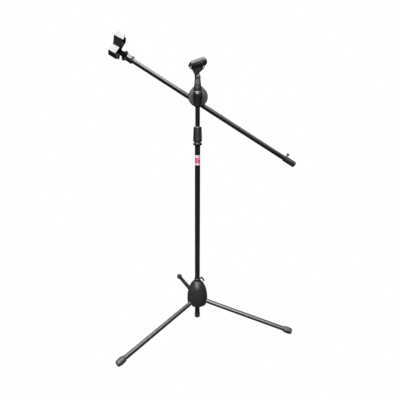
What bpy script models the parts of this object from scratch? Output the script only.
"""Boom microphone stand: folding tripod, telescopic column, boom arm and two microphone clips.

Units are metres. +Z is up and the origin is on the floor, under the column's axis.
+X points to the boom's lower, weighted end and +Y to the side of the column that the boom is on.
Each piece is one closed solid. A moving piece, or its parent empty, has its origin on its joint.
"""
import math

import bmesh
import bpy
from mathutils import Matrix, Vector

# Fits and mesh resolution
GAP = 0.0003                    # clearance between neighbouring solids
SIDES = 24                      # flats round a tube
FINE_SIDES = 32                 # flats round the hub and the pivot disc
SEAM_TURN = math.radians(4.0)   # turns a round piece so that its flats miss a neighbour's corners
THREAD_RADIUS = 0.0079          # 5/8 inch clip thread

# Tripod
LEG_ANGLES = (-15.0, 105.0, 225.0)      # plan direction of each leg, degrees from +X
LEG_SLOPE = math.radians(13.25)         # legs fall outwards from their hinges
HINGE_REACH = 0.024                     # column axis to hinge pin
HINGE_HEIGHT = 0.094
PIN_RADIUS = 0.0025
PIN_HALF_LENGTH = 0.0135
LEG_RADIUS = 0.0085
LEG_BORE = 0.0074
LEG_START = 0.0096                      # hinge pin to the tube's inner end
LEG_END = 0.3480
FOOT_START = 0.3372
FOOT_TIP = 0.3694
FOOT_RADIUS = 0.0127
KNUCKLE_RADIUS = 0.0083
SLOT_HALF_WIDTH = 0.0090
SLOT_ROOF = 0.0089                      # slot roof above the leg's axis

# Hub
HUB_RADIUS = 0.0415
HUB_HEIGHT = 0.0820                     # half height of the egg's upper ellipse
HUB_WAIST_Z = 0.1000
HUB_BOTTOM_Z = 0.0780
HUB_TOP_Z = 0.1775
HUB_WALL = 0.0040
CORE_RADIUS = 0.0366
CORE_BOTTOM_Z = 0.0810
CORE_TOP_Z = 0.1080
CORE_SLEEVE = 0.0130
COLLAR_RADIUS = 0.0119
COLLAR_TOP_Z = 0.1885
LOCK_SCREW_Z = 0.1832
LOCK_SCREW_ANGLE = 35.0                 # plan direction of the hub's thumb screw

# Column
LOWER_RADIUS = 0.0100
LOWER_BORE = 0.0089
LOWER_BOTTOM_Z = 0.0145
LOWER_TOP_Z = 0.7400
UPPER_RADIUS = 0.0085
UPPER_BORE = 0.0074
UPPER_BOTTOM_Z = 0.1430
UPPER_TOP_Z = 0.8860
CLUTCH_RING_Z = 0.7245                  # underside of the clutch's ring
CLUTCH_NECK_TOP_Z = 0.7700
CLUTCH_TOP_Z = 0.7928

# Pivot head
PIVOT_X = 0.0015
PIVOT_Z = 0.8972
DISC_RADIUS = 0.0354
DISC_BACK_Y = 0.0150
NECK_RADIUS = 0.0126
NECK_TOP_Z = 0.9345
BOLT_RADIUS = 0.0030

# Boom and its clamp
BOOM_ANGLE = math.radians(31.5)         # the front end rises, the tail falls
BOOM_Y = 0.0357
BOOM_DROP = 0.0158                      # boom axis under the pivot bolt, square to the boom
BOOM_RADIUS = 0.0090
BOOM_BORE = 0.0079
BOOM_FRONT = -0.2650
BOOM_BACK = 0.4430
BUSHING_RADIUS = 0.0106
CLAMP_HALF_LENGTH = 0.0200
CLAMP_LOW = -0.0285
CLAMP_HIGH = 0.0125
CLAMP_BACK_Y = 0.0500
TAIL_START = 0.4000
TAIL_END = 0.4450
TAIL_RADIUS = 0.0112
TAIL_SCREW_X = 0.4050

# Spring clip on the boom's front end
CLIP_BOLT_X = -0.2971
CLIP_TURN = math.radians(236.2)         # closing direction, turned from the boom's +X
CLIP_WIDTH = 0.0385
CLIP_FLARE = 0.0525
CLIP_OFFSET = -0.0018                   # plates' centre, along the held microphone
CLIP_WALL = 0.0024
CLIP_PIN = (0.0444, 0.0109)             # spring pin from the swivel bolt: outwards, upwards
FRONT_JAW = ((0.0535, 0.0547, CLIP_WIDTH), (0.0570, 0.0361, CLIP_FLARE), (0.0499, 0.0109, CLIP_WIDTH),
             (0.0552, -0.0170, CLIP_WIDTH), (0.0430, -0.0292, 0.0490))
BACK_JAW = ((0.0450, 0.0490, CLIP_WIDTH), (0.0370, 0.0361, CLIP_WIDTH), (0.0389, 0.0109, CLIP_WIDTH),
            (0.0310, -0.0170, CLIP_WIDTH), (0.0285, -0.0238, CLIP_WIDTH))

# Barrel clip on top of the column
TOP_CLIP_TURN = math.radians(22.0)
TOP_CLIP_TILT = math.radians(19.0)
TOP_CLIP_PIVOT_Z = 0.9640
BARREL_BACK = -0.0215
BARREL_FRONT = 0.0485
BARREL_AXIS_Z = 0.0430                  # barrel axis above the clip's pivot
BARREL_BACK_RADIUS = 0.0140
BARREL_FRONT_RADIUS = 0.0152
BARREL_WALL = 0.0024
BARREL_SLOT_HALF = 0.0072


def clear_scene():
    for thing in list(bpy.data.objects):
        bpy.data.objects.remove(thing, do_unlink=True)


def new_collection(name):
    collection = bpy.data.collections.new(name)
    bpy.context.scene.collection.children.link(collection)
    return collection


def new_material(name, colour, roughness, metallic=0.0):
    material = bpy.data.materials.new(name)
    material.use_nodes = True
    shader = material.node_tree.nodes["Principled BSDF"]
    shader.inputs["Base Color"].default_value = (*colour, 1.0)
    shader.inputs["Roughness"].default_value = roughness
    shader.inputs["Metallic"].default_value = metallic
    material.diffuse_color = (*colour, 1.0)
    return material


clear_scene()
PARTS = new_collection("boom_microphone_stand")
TOOLS = new_collection("cutters")


def new_empty(name, location=(0, 0, 0), rotation=(0, 0, 0), parent=None):
    empty = bpy.data.objects.new(name, None)
    empty.location = location
    empty.rotation_euler = rotation
    empty.parent = parent
    PARTS.objects.link(empty)
    return empty


def add_object(name, mesh, look, location=(0, 0, 0), rotation=(0, 0, 0), parent=None):
    """Link a mesh as a piece, or as a hidden tool when it has no look of its own."""
    thing = bpy.data.objects.new(name, mesh)
    thing.location = location
    thing.rotation_euler = rotation
    thing.parent = parent
    if look is None:
        thing.hide_render = True
        thing.display_type = "WIRE"
        TOOLS.objects.link(thing)
        return thing
    colour, roughness, metallic = look
    mesh.materials.append(new_material(name, colour, roughness, metallic))
    PARTS.objects.link(thing)
    return thing


def boolean(piece, tool, operation):
    modifier = piece.modifiers.new(operation.lower() + "_" + tool.name, "BOOLEAN")
    modifier.operation = operation
    modifier.object = tool
    return modifier


def cut(piece, tool):
    boolean(piece, tool, "DIFFERENCE")


def fuse(piece, tool):
    boolean(piece, tool, "UNION")


def turned(name, profile, look, sides=SIDES, closed=False, **place):
    """Turn a profile of (radius, height) points, listed down its outer side, about local Z."""
    points = [(radius, 0.0, height) for radius, height in profile]
    edges = [(i, i + 1) for i in range(len(points) - 1)]
    if closed:
        edges.append((len(points) - 1, 0))
    mesh = bpy.data.meshes.new(name)
    mesh.from_pydata(points, edges, [])
    thing = add_object(name, mesh, look, **place)
    screw = thing.modifiers.new("turn", "SCREW")
    screw.axis = "Z"
    screw.steps = sides
    screw.render_steps = sides
    screw.use_smooth_shade = True
    screw.use_merge_vertices = True
    screw.merge_threshold = 0.00005
    return thing


def rod(name, radius, bottom, top, look, sides=SIDES, **place):
    return turned(name, [(0, top), (radius, top), (radius, bottom), (0, bottom)], look, sides, **place)


def tube(name, radius, bore, bottom, top, look, sides=SIDES, **place):
    profile = [(radius, top), (radius, bottom), (bore, bottom), (bore, top)]
    return turned(name, profile, look, sides, closed=True, **place)


def nut(name, radius, hole, bottom, top, look, **place):
    """Hexagon nut with a round hole."""
    piece = rod(name, radius, bottom, top, look, 6, **place)
    cut(piece, rod(name + "_hole", hole, bottom - 0.001, top + 0.001, None, 16, **place))
    return piece


def box(name, low, high, look, **place):
    """A box between two corners of its own frame."""
    mesh = bpy.data.meshes.new(name)
    shape = bmesh.new()
    bmesh.ops.create_cube(shape, size=1.0)
    size = Vector(high) - Vector(low)
    centre = (Vector(high) + Vector(low)) / 2
    bmesh.ops.transform(shape, matrix=Matrix.Translation(centre) @ Matrix.Diagonal((*size, 1.0)), verts=shape.verts)
    shape.to_mesh(mesh)
    shape.free()
    return add_object(name, mesh, look, **place)


def round_edges(thing, width, segments=2, angle=50.0):
    bevel = thing.modifiers.new("round", "BEVEL")
    bevel.width = width
    bevel.segments = segments
    bevel.limit_method = "ANGLE"
    bevel.angle_limit = math.radians(angle)
    bevel.harden_normals = False


def flat_outline(name, points, low, high, look, **place):
    """A flat outline in local XZ, given thickness along local Y from low to high."""
    curve = bpy.data.curves.new(name, "CURVE")
    curve.dimensions = "2D"
    curve.fill_mode = "BOTH"
    curve.extrude = (high - low) / 2
    spline = curve.splines.new("POLY")
    spline.points.add(len(points) - 1)
    for point, (x, z) in zip(spline.points, points):
        point.co = (x, z, 0.0, 1.0)
    spline.use_cyclic_u = True
    guide = bpy.data.objects.new(name + "_outline", curve)
    TOOLS.objects.link(guide)
    upright = Matrix.Rotation(math.radians(90.0), 4, "X")
    shift = Matrix.Translation((0.0, (low + high) / 2, 0.0))
    mesh = weld_curve(guide, shift @ upright)
    return add_object(name, mesh, look, **place)


def weld_curve(guide, matrix):
    """Turn a curve object into a welded mesh, moved by a matrix, and remove the curve."""
    bpy.context.view_layer.update()
    evaluated = guide.evaluated_get(bpy.context.evaluated_depsgraph_get())
    mesh = bpy.data.meshes.new_from_object(evaluated)
    mesh.transform(matrix)
    shape = bmesh.new()
    shape.from_mesh(mesh)
    bmesh.ops.remove_doubles(shape, verts=shape.verts, dist=0.00001)
    bmesh.ops.recalc_face_normals(shape, faces=shape.faces)
    shape.to_mesh(mesh)
    shape.free()
    bpy.data.objects.remove(guide, do_unlink=True)
    return mesh


def arc(centre, radius, start, end, steps):
    """Points on an arc, with angles in degrees."""
    points = []
    for step in range(steps + 1):
        angle = math.radians(start + (end - start) * step / steps)
        points.append((centre[0] + radius * math.cos(angle), centre[1] + radius * math.sin(angle)))
    return points


STEEL_BLACK = ((0.020, 0.020, 0.022), 0.22, 0.3)
STEEL_ZINC = ((0.55, 0.55, 0.57), 0.30, 1.0)
BRASS = ((0.70, 0.52, 0.22), 0.35, 1.0)
PLASTIC = ((0.025, 0.025, 0.027), 0.38, 0.0)
GLOSS = ((0.012, 0.012, 0.013), 0.12, 0.0)
RUBBER = ((0.050, 0.050, 0.052), 0.60, 0.0)
FIBRE = ((0.110, 0.080, 0.060), 0.85, 0.0)

ALONG_X = (0.0, math.radians(90.0), 0.0)        # stands a turned piece's axis along +X
ALONG_Y = (math.radians(-90.0), 0.0, 0.0)       # stands a turned piece's axis along +Y


# ---------------------------------------------------------------- tripod

def leg_frames():
    """One empty for each hinge pin, with +X down the leg and +Y along the pin."""
    frames = []
    for number, angle in enumerate(LEG_ANGLES, start=1):
        plan = math.radians(angle)
        where = (HINGE_REACH * math.cos(plan), HINGE_REACH * math.sin(plan), HINGE_HEIGHT)
        frames.append(new_empty(f"leg_hinge_{number}", where, (0.0, LEG_SLOPE, plan)))
    return frames


def egg_curve(radius, height, lowest_radius, steps=8):
    """Upper half of the hub's outline, from its top down to the widest ring."""
    first = math.acos(lowest_radius / radius)
    points = []
    for step in range(steps + 1):
        angle = first * (1.0 - step / steps)
        points.append((radius * math.cos(angle), HUB_WAIST_Z + height * math.sin(angle)))
    return points


def make_hub(frames):
    inner_radius = HUB_RADIUS - HUB_WALL
    outer = [point for point in egg_curve(HUB_RADIUS, HUB_HEIGHT, 0.0136)]
    outer[0] = (outer[0][0], HUB_TOP_Z)
    skirt = [(0.0405, 0.0850), (0.0396, 0.0795), (0.0380, HUB_BOTTOM_Z), (inner_radius, HUB_BOTTOM_Z)]
    inner = list(reversed(egg_curve(inner_radius, HUB_HEIGHT - HUB_WALL, 0.0150, 6)))
    top = [(CORE_SLEEVE - 0.0006, HUB_TOP_Z - 0.0060), (CORE_SLEEVE - 0.0006, HUB_TOP_Z)]
    shell = turned("hub_shell", outer + skirt + inner + top, PLASTIC, FINE_SIDES, closed=True)
    sleeve = CORE_SLEEVE - 0.0011
    core = turned("hub_core", [(sleeve, HUB_TOP_Z - GAP), (sleeve, 0.160), (CORE_SLEEVE, 0.150), (CORE_SLEEVE, CORE_TOP_Z),
                               (CORE_RADIUS, CORE_TOP_Z), (CORE_RADIUS, CORE_BOTTOM_Z),
                               (LOWER_RADIUS + GAP, CORE_BOTTOM_Z), (LOWER_RADIUS + GAP, HUB_TOP_Z - GAP)],
                  PLASTIC, FINE_SIDES, closed=True,
                  rotation=(0.0, 0.0, SEAM_TURN))
    for number, frame in enumerate(frames, start=1):
        reach = box(f"slot_{number}", (-0.0013, -SLOT_HALF_WIDTH, -0.050), (0.036, SLOT_HALF_WIDTH, SLOT_ROOF), None,
                    parent=frame)
        plan = math.radians(LEG_ANGLES[number - 1])
        half = SLOT_HALF_WIDTH - 0.0003
        well = box(f"well_{number}", (0.0147, -half, 0.060), (0.0262, half, 0.1031), None, rotation=(0.0, 0.0, plan))
        pin_hole = rod(f"pin_hole_{number}", PIN_RADIUS + GAP, -PIN_HALF_LENGTH - GAP, PIN_HALF_LENGTH + GAP, None, 16,
                       rotation=ALONG_Y, parent=frame)
        cut(shell, reach)
        cut(core, reach)
        cut(core, well)
        cut(core, pin_hole)


def make_leg(number, frame):
    rod(f"leg_pin_{number}", PIN_RADIUS, -PIN_HALF_LENGTH, PIN_HALF_LENGTH, STEEL_ZINC, 16,
        rotation=ALONG_Y, parent=frame)
    tube(f"leg_tube_{number}", LEG_RADIUS, LEG_BORE, LEG_START, LEG_END, STEEL_BLACK, rotation=ALONG_X, parent=frame)
    make_knuckle(number, frame)
    make_foot(number, frame)


def make_knuckle(number, frame):
    """Plug in the leg's inner end, rounded about the hinge pin."""
    plug = LEG_BORE - GAP
    shoulder = LEG_START - GAP
    profile = [(0, 0.030), (plug, 0.030), (plug, shoulder), (KNUCKLE_RADIUS, shoulder), (KNUCKLE_RADIUS, 0.0), (0, 0.0)]
    knuckle = turned(f"leg_knuckle_{number}", profile, PLASTIC, 20, rotation=ALONG_X, parent=frame)
    eye = rod(f"knuckle_eye_{number}", KNUCKLE_RADIUS + 0.0001, -0.0081, 0.0081, None, 22,
              rotation=ALONG_Y, parent=frame)
    hole = rod(f"knuckle_hole_{number}", PIN_RADIUS + GAP, -0.012, 0.012, None, 16, rotation=ALONG_Y, parent=frame)
    fuse(knuckle, eye)
    cut(knuckle, hole)


def make_foot(number, frame):
    """Rubber boot: swells over the tube's end, narrows to a blunt tip and sits flat on the floor."""
    bore = LEG_RADIUS + GAP
    profile = [(0, FOOT_TIP), (0.0085, FOOT_TIP), (0.0102, FOOT_TIP - 0.0010), (0.0108, FOOT_TIP - 0.0028),
               (0.0118, 0.3610), (FOOT_RADIUS, 0.3545), (FOOT_RADIUS, 0.3490), (0.0120, 0.3430), (0.0103, FOOT_START),
               (bore, FOOT_START), (bore, LEG_END + 0.0006), (0, LEG_END + 0.0006)]
    foot = turned(f"leg_foot_{number}", profile, RUBBER, 28, rotation=ALONG_X, parent=frame)
    floor = box(f"floor_{number}", (0.30, -0.05, -0.05), (0.45, 0.05, 0.0), None,
                rotation=(0.0, 0.0, math.radians(LEG_ANGLES[number - 1])))
    cut(foot, floor)


def make_hub_collar():
    """Ring over the hub with the thumb screw that holds the column at its height in the hub."""
    bore = LOWER_RADIUS + GAP
    profile = [(COLLAR_RADIUS - 0.001, COLLAR_TOP_Z), (COLLAR_RADIUS, COLLAR_TOP_Z - 0.001),
               (COLLAR_RADIUS, HUB_TOP_Z + GAP), (bore, HUB_TOP_Z + GAP), (bore, COLLAR_TOP_Z)]
    collar = turned("hub_collar", profile, PLASTIC, closed=True)
    aim = new_empty("lock_screw_axis", (0.0, 0.0, LOCK_SCREW_Z), (0.0, 0.0, math.radians(LOCK_SCREW_ANGLE)))
    hole = rod("lock_screw_hole", 0.0033, 0.008, 0.020, None, 16, rotation=ALONG_X, parent=aim)
    cut(collar, hole)
    screw = rod("hub_lock_screw", 0.0029, LOWER_RADIUS + 0.0006, 0.0215, PLASTIC, 16, rotation=ALONG_X, parent=aim)
    fuse(screw, make_lever(aim))


def make_lever(aim):
    """Flat thumb lever on the screw's end, bent down and outwards."""
    tip = arc((0.0318, -0.0145), 0.0029, -120, 35, 6)
    outline = [(0.0180, 0.0033), (0.0180, -0.0030), (0.0228, -0.0036), *tip, (0.0268, -0.0010), (0.0242, 0.0026),
               (0.0215, 0.0038)]
    return flat_outline("lock_lever", outline, -0.0034, 0.0034, None, parent=aim)


# ---------------------------------------------------------------- column

def make_column():
    tube("lower_tube", LOWER_RADIUS, LOWER_BORE, LOWER_BOTTOM_Z, LOWER_TOP_Z, STEEL_BLACK)
    bottom = 0.0115
    grip = 0.0300
    bore = LOWER_RADIUS + GAP
    seat = LOWER_BOTTOM_Z - GAP
    profile = [(0, seat), (bore, seat), (bore, grip), (0.0107, grip), (0.0110, grip - 0.0010), (0.0110, bottom + 0.0022),
               (0.0103, bottom + 0.0007), (0.0088, bottom), (0, bottom)]
    turned("lower_tube_cap", profile, RUBBER)
    rod_profile = [(0, 0.160), (UPPER_BORE - GAP, 0.160), (UPPER_BORE - GAP, UPPER_BOTTOM_Z - GAP),
                   (LOWER_BORE - GAP, UPPER_BOTTOM_Z - GAP), (LOWER_BORE - GAP, 0.120), (0, 0.120)]
    turned("guide_bush", rod_profile, PLASTIC)
    tube("upper_tube", UPPER_RADIUS, UPPER_BORE, UPPER_BOTTOM_Z, UPPER_TOP_Z, STEEL_BLACK)


def make_clutch():
    """Twist clutch: fixed ferrule with a ring, split collet, and the sleeve that squeezes it."""
    tube_bore = LOWER_RADIUS + GAP
    rod_bore = LOWER_BORE
    ferrule = [(0.0126, CLUTCH_NECK_TOP_Z), (0.0126, 0.7385), (0.0129, 0.7345), (0.0157, 0.7336), (0.0163, 0.7318),
               (0.0163, 0.7274), (0.0157, 0.7255), (0.0120, CLUTCH_RING_Z), (tube_bore, CLUTCH_RING_Z),
               (tube_bore, LOWER_TOP_Z + 0.0006), (rod_bore, LOWER_TOP_Z + 0.0009), (rod_bore, CLUTCH_NECK_TOP_Z)]
    turned("clutch_ferrule", ferrule, PLASTIC, closed=True)
    collet_bore = UPPER_RADIUS + GAP
    collet = turned("clutch_collet", [(0.0102, 0.7860), (0.0120, CLUTCH_NECK_TOP_Z + GAP),
                                      (collet_bore, CLUTCH_NECK_TOP_Z + GAP), (collet_bore, 0.7860)],
                    PLASTIC, closed=True)
    cut(collet, box("collet_slit", (0.0, -0.0008, 0.765), (0.020, 0.0008, 0.790), None))
    sleeve_bore = 0.0130
    sleeve = [(0.0120, CLUTCH_TOP_Z), (0.0140, 0.7917), (0.0149, 0.7885), (0.0161, 0.7590), (0.0166, 0.7440),
              (0.0166, 0.7404), (0.0158, 0.7388), (sleeve_bore, 0.7388), (sleeve_bore, 0.7715), (0.0110, 0.7870),
              (0.0091, 0.7880), (0.0091, CLUTCH_TOP_Z)]
    turned("clutch_sleeve", sleeve, PLASTIC, closed=True)


# ---------------------------------------------------------------- pivot head

def make_head():
    """Moulded head on the upper tube: a tear-shaped socket, the pivot disc and the neck of the top thread."""
    teardrop = [(0, 0.9240), (0.0062, 0.9226), (0.0118, 0.9185), (0.0162, 0.9115), (0.0180, 0.9030), (0.0172, 0.8950),
                (0.0140, 0.8830), (0.0113, 0.8710), (0.0102, 0.8600), (0, 0.8600)]
    head = turned("pivot_head", teardrop, GLOSS, FINE_SIDES)
    disc = turned("pivot_disc", [(0, DISC_BACK_Y), (DISC_RADIUS - 0.001, DISC_BACK_Y), (DISC_RADIUS, DISC_BACK_Y - 0.001),
                                 (DISC_RADIUS, 0.0085), (0.0330, 0.0065), (0.0150, 0.0030), (0, 0.0030)],
                  None, FINE_SIDES, location=(PIVOT_X, 0, PIVOT_Z), rotation=(ALONG_Y[0], SEAM_TURN, 0.0))
    neck = turned("head_neck", [(0, NECK_TOP_Z), (NECK_RADIUS, NECK_TOP_Z), (NECK_RADIUS + 0.0006, 0.9300),
                                (0.0146, 0.9235), (0.0146, 0.9050), (0, 0.9050)], None, 28)
    cut(head, box("head_back", (-0.03, DISC_BACK_Y - 0.0006, 0.84), (0.03, 0.04, 0.94), None))
    fuse(head, disc)
    fuse(head, neck)
    cut(head, rod("tube_socket", UPPER_RADIUS + GAP, 0.850, UPPER_TOP_Z + GAP, None))
    cut(head, rod("bolt_seat", BOLT_RADIUS + GAP, -0.006, 0.020, None, 16, location=(PIVOT_X, 0, PIVOT_Z), rotation=ALONG_Y))
    cut(head, rod("stud_seat", THREAD_RADIUS + GAP, 0.9220, 0.9400, None))
    rod("top_thread_stud", THREAD_RADIUS, 0.9223, 0.9510, STEEL_ZINC)


# ---------------------------------------------------------------- boom and clamp

def make_clamp(boom):
    """Friction washer, two clamp halves round the boom's bushing, and the bolt with its T-handle."""
    rod("pivot_bolt", BOLT_RADIUS, -0.0055, 0.0588, STEEL_ZINC, 16, rotation=ALONG_Y, parent=boom)
    tube("friction_washer", 0.0290, BOLT_RADIUS + GAP, DISC_BACK_Y + GAP, 0.0168, FIBRE, rotation=ALONG_Y, parent=boom)
    front = rod("clamp_front", 0.0330, 0.0171, 0.0235, PLASTIC, FINE_SIDES, rotation=ALONG_Y, parent=boom)
    block = box("clamp_block", (-CLAMP_HALF_LENGTH, 0.0225, CLAMP_LOW), (CLAMP_HALF_LENGTH, BOOM_Y - 0.0002, CLAMP_HIGH),
                None, parent=boom)
    fuse(front, block)
    rear = box("clamp_rear", (-CLAMP_HALF_LENGTH, BOOM_Y + 0.0002, CLAMP_LOW),
               (CLAMP_HALF_LENGTH, CLAMP_BACK_Y, CLAMP_HIGH), PLASTIC, parent=boom)
    round_edges(rear, 0.003)
    channel = rod("boom_channel", BUSHING_RADIUS + GAP, -0.040, 0.040, None, 28,
                  location=(0, BOOM_Y, -BOOM_DROP), rotation=ALONG_X, parent=boom)
    bolt_hole = rod("clamp_bolt_hole", BOLT_RADIUS + GAP, 0.010, 0.070, None, 16, rotation=ALONG_Y, parent=boom)
    for half in (front, rear):
        cut(half, channel)
        cut(half, bolt_hole)
    make_handle(boom)


def make_handle(boom):
    handle = rod("clamp_handle", 0.0090, CLAMP_BACK_Y + GAP, 0.0600, PLASTIC, rotation=ALONG_Y, parent=boom)
    ends = arc((0.0225, 0.0), 0.0055, -90, 90, 8) + arc((-0.0225, 0.0), 0.0055, 90, 270, 8)
    bar = flat_outline("handle_bar", ends, 0.0525, 0.0625, None, parent=boom)
    fuse(handle, bar)
    cut(handle, rod("handle_thread", BOLT_RADIUS + GAP, 0.045, 0.0592, None, 16, rotation=ALONG_Y, parent=boom))


def make_boom(boom):
    axis = new_empty("boom_axis", (0.0, BOOM_Y, -BOOM_DROP), parent=boom)
    tube("boom_bushing", BUSHING_RADIUS, BOOM_RADIUS + GAP, -0.0215, 0.0215, PLASTIC, rotation=ALONG_X, parent=axis)
    tube("boom_tube", BOOM_RADIUS, BOOM_BORE, BOOM_FRONT, BOOM_BACK, STEEL_BLACK, rotation=ALONG_X, parent=axis)
    plug = BOOM_BORE - GAP
    thread = [(0, -0.2400), (plug, -0.2400), (plug, BOOM_FRONT - GAP), (THREAD_RADIUS, BOOM_FRONT - GAP),
              (THREAD_RADIUS, -0.2855), (0, -0.2855)]
    turned("boom_thread_plug", thread, STEEL_ZINC, rotation=ALONG_X, parent=axis)
    ring = [(0.0130, -0.2660), (0.0138, -0.2668), (0.0138, -0.2702), (0.0130, -0.2710),
            (THREAD_RADIUS + GAP, -0.2710), (THREAD_RADIUS + GAP, -0.2660)]
    turned("boom_lock_ring", ring, RUBBER, closed=True, rotation=ALONG_X, parent=axis)
    cap = [(0, 0.4495), (0.0085, 0.4495), (0.0104, 0.4485), (0.0110, 0.4470), (0.0110, TAIL_END + GAP),
           (plug, TAIL_END + GAP), (plug, 0.4200), (0, 0.4200)]
    turned("boom_end_plug", cap, RUBBER, rotation=ALONG_X, parent=axis)
    tail = tube("tail_weight", TAIL_RADIUS, BOOM_RADIUS + GAP, TAIL_START, TAIL_END, STEEL_BLACK,
                rotation=ALONG_X, parent=axis)
    fuse(tail, rod("tail_boss", 0.0044, 0.0098, 0.0145, None, 18, location=(TAIL_SCREW_X, 0, 0), parent=axis))
    cut(tail, rod("tail_screw_hole", 0.0024, 0.005, 0.020, None, 12, location=(TAIL_SCREW_X, 0, 0), parent=axis))
    knob = [(0, 0.0228), (0.0044, 0.0228), (0.0055, 0.0218), (0.0055, 0.0160), (0.0048, 0.0150), (0.0020, 0.0150),
            (0.0020, 0.0096), (0, 0.0096)]
    turned("tail_screw", knob, PLASTIC, 18, location=(TAIL_SCREW_X, 0, 0), parent=axis)
    return axis


# ---------------------------------------------------------------- spring clip

def make_clip_base(axis):
    """Threaded socket with a fork, and the swivel bolt across it."""
    socket = [(0, -0.2868), (0.0108, -0.2868), (0.0108, -0.2713), (0.0124, -0.2713), (0.0130, -0.2720),
              (0.0130, -0.2880), (0, -0.2880)]
    base = turned("end_clip_base", socket, GLOSS, rotation=ALONG_X, parent=axis)
    tip = arc((CLIP_BOLT_X, 0.0), 0.0085, 90, 270, 8)
    outline = [(-0.2875, -0.0085), (-0.2875, 0.0085), *tip]
    for number, (low, high) in enumerate(((-0.0127, -0.0048), (0.0048, 0.0127)), start=1):
        ear = flat_outline(f"fork_ear_{number}", outline, low, high, None,
                           rotation=(math.radians(-90.0), 0.0, 0.0), parent=axis)
        fuse(base, ear)
    at_bolt = {"location": (CLIP_BOLT_X, 0.0, 0.0), "parent": axis}
    cut(base, rod("fork_hole", 0.0028, -0.020, 0.020, None, 16, **at_bolt))
    tube("end_clip_insert", 0.0105, THREAD_RADIUS + GAP, -0.2864, -0.2716, BRASS, rotation=ALONG_X, parent=axis)
    bolt = [(0, 0.0176), (0.0034, 0.0174), (0.0048, 0.0160), (0.0048, 0.0130), (0.0025, 0.0130), (0.0025, -0.0186),
            (0, -0.0186)]
    turned("end_clip_bolt", bolt, PLASTIC, 18, **at_bolt)
    nut("end_clip_nut", 0.0055, 0.0028, -0.0178, -0.0130, PLASTIC, **at_bolt)


def bent_plate(name, stations, inwards, look, parent):
    """A folded plate through (out, up, width) stations, thickened towards the other jaw."""
    verts = []
    for out, up, width in stations:
        verts.append((out, CLIP_OFFSET - width / 2, up))
        verts.append((out, CLIP_OFFSET + width / 2, up))
    faces = []
    for row in range(len(stations) - 1):
        first = 2 * row
        faces.append((first, first + 2, first + 3, first + 1))
    mesh = bpy.data.meshes.new(name)
    mesh.from_pydata(verts, [], faces)
    plate = add_object(name, mesh, look, parent=parent)
    shell = plate.modifiers.new("thickness", "SOLIDIFY")
    shell.thickness = CLIP_WALL
    shell.offset = inwards
    shell.use_even_offset = True
    return plate


def pin_ear(name, plate_side, near, parent):
    """A lug from the plate to the spring pin, between two distances along the pin."""
    out, up = CLIP_PIN
    eye = arc((out, up), 0.0023, 90, 270, 6)
    reach = out + 0.0040
    outline = eye + [(reach, up - 0.0023), (reach, up + 0.0023)]
    if plate_side < 0:
        outline = [(2 * out - x, z) for x, z in reversed(outline)]
    return flat_outline(name, outline, near, near + 0.0020, None, parent=parent)


def make_spring_clip(axis):
    clip = new_empty("end_clip_swivel", (CLIP_BOLT_X, 0.0, 0.0), (0.0, 0.0, CLIP_TURN), axis)
    front = bent_plate("end_clip_jaw_front", FRONT_JAW, -1.0, GLOSS, clip)
    back = bent_plate("end_clip_jaw_back", BACK_JAW, 1.0, GLOSS, clip)
    tongue_end = arc((0.0, 0.0), 0.0083, 90, 270, 10)
    tongue = flat_outline("clip_tongue", [(0.0365, -0.0083), (0.0365, 0.0083), *tongue_end], -0.0044, 0.0044, None,
                          rotation=(math.radians(-90.0), 0.0, 0.0), parent=clip)
    fuse(back, tongue)
    cut(back, rod("tongue_hole", 0.0028, -0.010, 0.010, None, 16, parent=clip))
    for side in (-1, 1):
        inner = CLIP_OFFSET + (0.0095 if side > 0 else -0.0115)
        outer = CLIP_OFFSET + (0.0120 if side > 0 else -0.0140)
        fuse(front, pin_ear(f"front_ear_{side}", 1, inner, clip))
        fuse(back, pin_ear(f"back_ear_{side}", -1, outer, clip))
    at_pin = {"location": (CLIP_PIN[0], CLIP_OFFSET, CLIP_PIN[1]), "rotation": ALONG_Y, "parent": clip}
    pin_hole = rod("clip_pin_hole", 0.0014, -0.0155, 0.0155, None, 12, **at_pin)
    cut(front, pin_hole)
    cut(back, pin_hole)
    rod("end_clip_pin", 0.0011, -0.0150, 0.0150, STEEL_ZINC, 12, **at_pin)
    make_spring(clip)


def make_spring(clip):
    """Torsion spring: a coil round the pin with an arm along each jaw's handle."""
    out, up = CLIP_PIN
    wire = 0.0005
    coil = 0.0020
    turns = 4
    per_turn = 12
    length = 0.0130
    points = [(out - 0.0036, -length / 2, up - 0.0140)]
    for step in range(turns * per_turn + 1):
        angle = math.radians(180.0) + 2 * math.pi * step / per_turn
        along = -length / 2 + length * step / (turns * per_turn)
        points.append((out + coil * math.cos(angle), along, up + coil * math.sin(angle)))
    points[-1] = (out - coil, length / 2, up)
    points.append((out - 0.0002, length / 2, up - 0.0120))
    curve = bpy.data.curves.new("end_clip_spring", "CURVE")
    curve.dimensions = "3D"
    curve.bevel_depth = wire
    curve.bevel_resolution = 1
    curve.use_fill_caps = True
    spline = curve.splines.new("POLY")
    spline.points.add(len(points) - 1)
    for point, (x, y, z) in zip(spline.points, points):
        point.co = (x, y + CLIP_OFFSET, z, 1.0)
    guide = bpy.data.objects.new("spring_wire", curve)
    TOOLS.objects.link(guide)
    add_object("end_clip_spring", weld_curve(guide, Matrix.Identity(4)), STEEL_ZINC, parent=clip)


# ---------------------------------------------------------------- barrel clip

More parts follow.
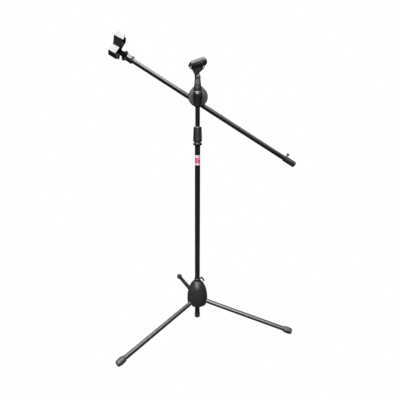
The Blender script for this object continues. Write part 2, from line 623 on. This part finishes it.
def make_top_clip():
    turn = new_empty("top_clip_thread", (0.0, 0.0, TOP_CLIP_PIVOT_Z), (0.0, 0.0, TOP_CLIP_TURN))
    foot = NECK_TOP_Z + 0.0005 - TOP_CLIP_PIVOT_Z
    roof = 0.9532 - TOP_CLIP_PIVOT_Z
    inner = 0.0098
    socket = [(0, roof), (0.0100, roof), (0.0107, roof - 0.0008), (0.0124, foot), (inner, foot), (inner, roof - 0.0016),
              (0, roof - 0.0016)]
    base = turned("top_clip_base", socket, PLASTIC, parent=turn)
    outline = [(-0.0079, roof - 0.0005), (0.0079, roof - 0.0005)] + arc((0.0, 0.0), 0.0079, 0, 180, 10)
    for number, (low, high) in enumerate(((-0.0088, -0.0042), (0.0042, 0.0088)), start=1):
        fuse(base, flat_outline(f"top_fork_ear_{number}", outline, low, high, None, parent=turn))
    cut(base, rod("top_fork_hole", 0.0023, -0.015, 0.015, None, 14, rotation=ALONG_Y, parent=turn))
    tube("top_clip_insert", inner - GAP, THREAD_RADIUS + GAP, foot + 0.0002, roof - 0.0020, BRASS, parent=turn)
    screw = [(0, 0.0118), (0.0020, 0.0118), (0.0020, -0.0091), (0.0045, -0.0091), (0.0045, -0.0104), (0.0032, -0.0114),
             (0, -0.0114)]
    turned("top_clip_screw", screw, STEEL_ZINC, 18, rotation=ALONG_Y, parent=turn)
    nut("top_clip_nut", 0.0045, 0.0023, 0.0091, 0.0113, STEEL_ZINC, rotation=ALONG_Y, parent=turn)
    tilt = new_empty("top_clip_tilt", (0.0, 0.0, 0.0), (0.0, -TOP_CLIP_TILT, 0.0), turn)
    make_cradle(tilt)


def make_cradle(tilt):
    """Slotted barrel with raked ends that the microphone slides into, on a web with a window and a tongue."""
    length = BARREL_FRONT - BARREL_BACK
    grow = (BARREL_FRONT_RADIUS - BARREL_BACK_RADIUS) / length
    outer = [(0, BARREL_FRONT), (BARREL_FRONT_RADIUS, BARREL_FRONT), (BARREL_BACK_RADIUS, BARREL_BACK), (0, BARREL_BACK)]
    at_axis = {"location": (0.0, 0.0, BARREL_AXIS_Z), "rotation": ALONG_X, "parent": tilt}
    cradle = turned("top_clip_cradle", outer, PLASTIC, 28, **at_axis)
    rake = [(-0.0095, 0.0240), (-0.0143, 0.0320), (-0.0170, 0.0400), (-0.0166, 0.0440), (-0.0138, 0.0485),
            (-0.0085, 0.0525), (0.0060, 0.0590), (0.0330, 0.0590), (0.0412, 0.0545), (0.0438, 0.0490), (0.0446, 0.0360),
            (0.0434, 0.0300), (0.0385, 0.0240)]
    boolean(cradle, flat_outline("barrel_side", rake, -0.030, 0.030, None, parent=tilt), "INTERSECT")
    web = [(-0.0135, 0.0315), (-0.0086, 0.0172), (-0.0080, 0.0100), *arc((0.0, 0.0), 0.0076, 165, 345, 10),
           (0.0084, 0.0095), (0.0184, 0.0142), (0.0290, 0.0190), (0.0400, 0.0280), (0.0408, 0.0320)]
    fuse(cradle, flat_outline("clip_web", web, -0.0038, 0.0038, None, parent=tilt))
    overrun = 0.004
    hollow = [(0, BARREL_FRONT + overrun), (BARREL_FRONT_RADIUS - BARREL_WALL + grow * overrun, BARREL_FRONT + overrun),
              (BARREL_BACK_RADIUS - BARREL_WALL - grow * overrun, BARREL_BACK - overrun), (0, BARREL_BACK - overrun)]
    cut(cradle, turned("barrel_bore", hollow, None, 28, **at_axis))
    cut(cradle, box("barrel_slot", (BARREL_BACK - 0.01, -BARREL_SLOT_HALF, BARREL_AXIS_Z),
                    (BARREL_FRONT + 0.01, BARREL_SLOT_HALF, BARREL_AXIS_Z + 0.03), None, parent=tilt))
    window = [(0.0292, 0.0212), (0.0372, 0.0276), (0.0297, 0.0276)]
    cut(cradle, flat_outline("web_window", window, -0.010, 0.010, None, parent=tilt))
    cut(cradle, rod("tongue_pin_hole", 0.0023, -0.010, 0.010, None, 14, rotation=ALONG_Y, parent=tilt))


def main():
    frames = leg_frames()
    make_hub(frames)
    for number, frame in enumerate(frames, start=1):
        make_leg(number, frame)
    make_hub_collar()
    make_column()
    make_clutch()
    make_head()
    boom = new_empty("boom_pivot", (PIVOT_X, 0.0, PIVOT_Z), (0.0, BOOM_ANGLE, 0.0))
    make_clamp(boom)
    axis = make_boom(boom)
    make_clip_base(axis)
    make_spring_clip(axis)
    make_top_clip()


main()
